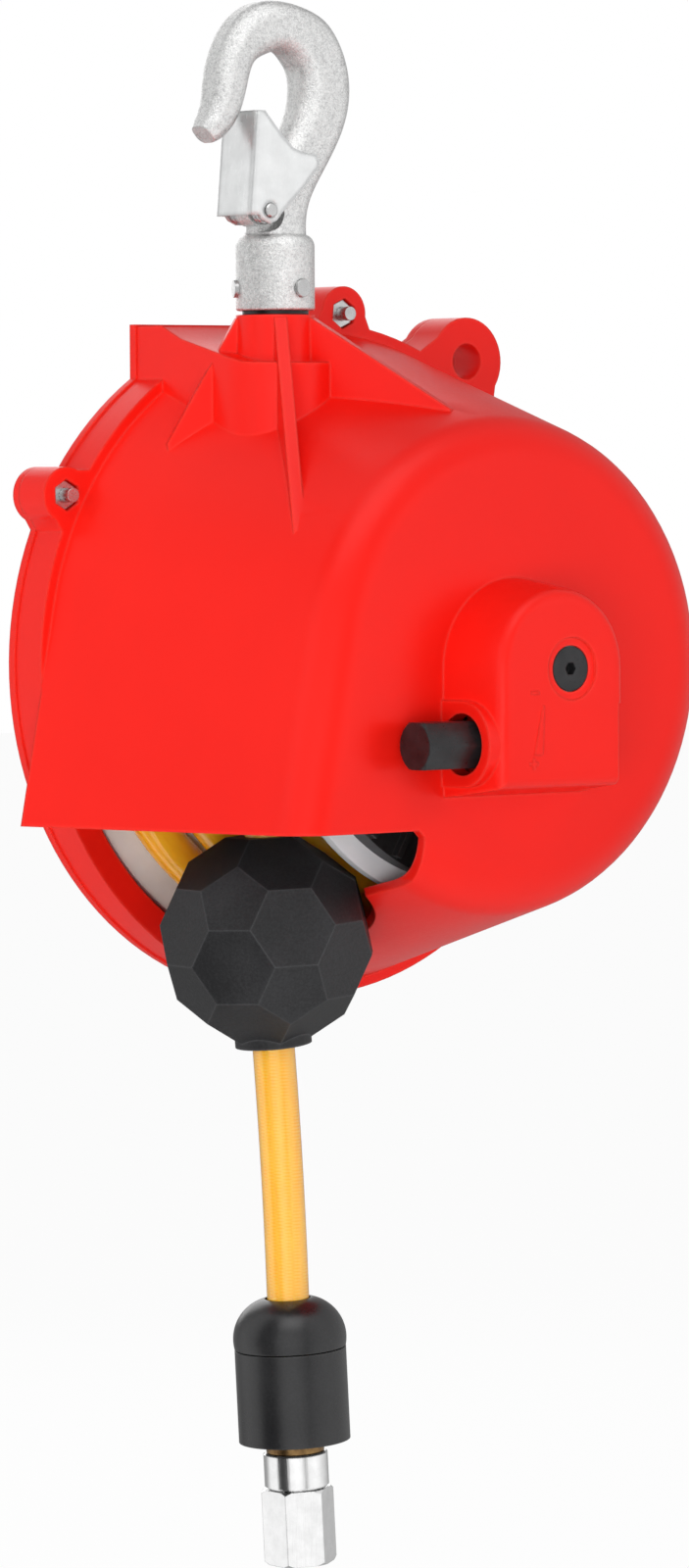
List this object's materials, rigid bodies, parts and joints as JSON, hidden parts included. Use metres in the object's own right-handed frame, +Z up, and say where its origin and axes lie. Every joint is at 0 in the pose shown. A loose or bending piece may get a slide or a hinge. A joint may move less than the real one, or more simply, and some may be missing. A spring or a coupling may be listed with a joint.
{
  "type": "hose reel tool balancer",
  "caption": "Hanging tool balancer with a spring drum that winds an air hose, a swivelling safety hook, a stopper ball and a threaded outlet.",
  "frame": {"origin": "the point inside the load hook where the part hangs from its support", "axes": "+Z up through the hook; +Y toward the rear cover along the drum axis; +X away from the hose side"},
  "size_m": [0.2094, 0.1427, 0.4409],
  "materials": {
    "red_paint": "gloss paint over a smooth casting",
    "galvanised": "mottled galvanised forging",
    "bright_zinc": "bright zinc plate",
    "plain_steel": "machined",
    "black_steel": "black oxide",
    "bronze": "machined bronze",
    "cast_drum": "satin light grey",
    "black_plastic": "matt black",
    "orange_hose": "translucent orange over a braid",
    "black_rubber": "matt black",
    "ferrule_brass": "dull brown brass",
    "bright_chrome": "brushed bright chrome"
  },
  "bodies": {
    "housing": {"front_housing": "red_paint", "rear_cover": "red_paint", "housing_screws": "black_steel", "housing_nuts": "black_steel", "swivel_bolt": "plain_steel", "thrust_washer": "plain_steel", "neck_washer": "plain_steel", "air_inlet": "plain_steel", "inlet_seals": "black_rubber", "inlet_nut": "plain_steel", "hose_guide": "black_plastic", "gear_plate": "plain_steel", "worm_bush": "bronze", "worm_tail_bush": "bronze"},
    "hook": {"load_hook": "galvanised", "swivel_pins": "plain_steel", "latch_pin": "plain_steel", "latch_spring": "plain_steel"},
    "latch": {"hook_latch": "bright_zinc"},
    "worm": {"worm_screw": "black_steel"},
    "arbor": {"worm_wheel": "bronze", "spring_arbor": "plain_steel", "arbor_screw": "black_steel"},
    "drum_set": {"drum": "cast_drum", "air_pipe": "plain_steel", "spring_case": "black_plastic", "front_bush": "bronze", "mainspring": "plain_steel", "hose_coils": "orange_hose"},
    "hose_end": {"hose_run": "orange_hose", "stopper_ball": "black_rubber", "hose_tail": "orange_hose", "bell_cap": "black_rubber", "bell_sleeve": "black_rubber", "crimp_ferrule": "ferrule_brass", "coupling_body": "bright_chrome"},
    "outlet_nut": {"coupling_nut": "bright_chrome"}
  },
  "joints": [
    {"name": "hook_swivel", "type": "hinge", "parent": "housing", "child": "hook", "pos_m": [0, 0, -0.062], "axis": [0, 0, 1], "continuous": true},
    {"name": "hook_latch", "type": "hinge", "parent": "hook", "child": "latch", "pos_m": [-0.0076, 0, -0.0448], "axis": [0, 1, 0], "range_deg": [0, 33], "stiffness_Nm_per_rad": 0.02, "springref_deg": -45.84},
    {"name": "worm_turn", "type": "hinge", "parent": "housing", "child": "worm", "pos_m": [0.02, -0.0725, -0.1935], "axis": [1, 0, 0], "continuous": true},
    {"name": "arbor_turn", "type": "hinge", "parent": "housing", "child": "arbor", "pos_m": [0.0375, 0, -0.173], "axis": [0, 1, 0], "continuous": true},
    {"name": "drum_spin", "type": "hinge", "parent": "housing", "child": "drum_set", "pos_m": [0.0375, 0, -0.173], "axis": [0, 1, 0], "range_deg": [-860, 0], "stiffness_Nm_per_rad": 0.02, "springref_deg": 2578.31},
    {"name": "hose_pull", "type": "slide", "parent": "housing", "child": "hose_end", "axis": [0, 0, -1], "range_m": [0, 1], "deforming": ["hose_run"]},
    {"name": "nut_turn", "type": "hinge", "parent": "hose_end", "child": "outlet_nut", "pos_m": [-0.01119, -0.0178, -0.351], "axis": [0.0541, 0, -0.9985], "continuous": true}
  ],
  "couplings": [
    {"joint": "arbor_turn", "follows": "worm_turn", "ratio": 0.041667},
    {"joint": "hose_pull", "follows": "drum_spin", "m_per_rad": -0.0664}
  ]
}
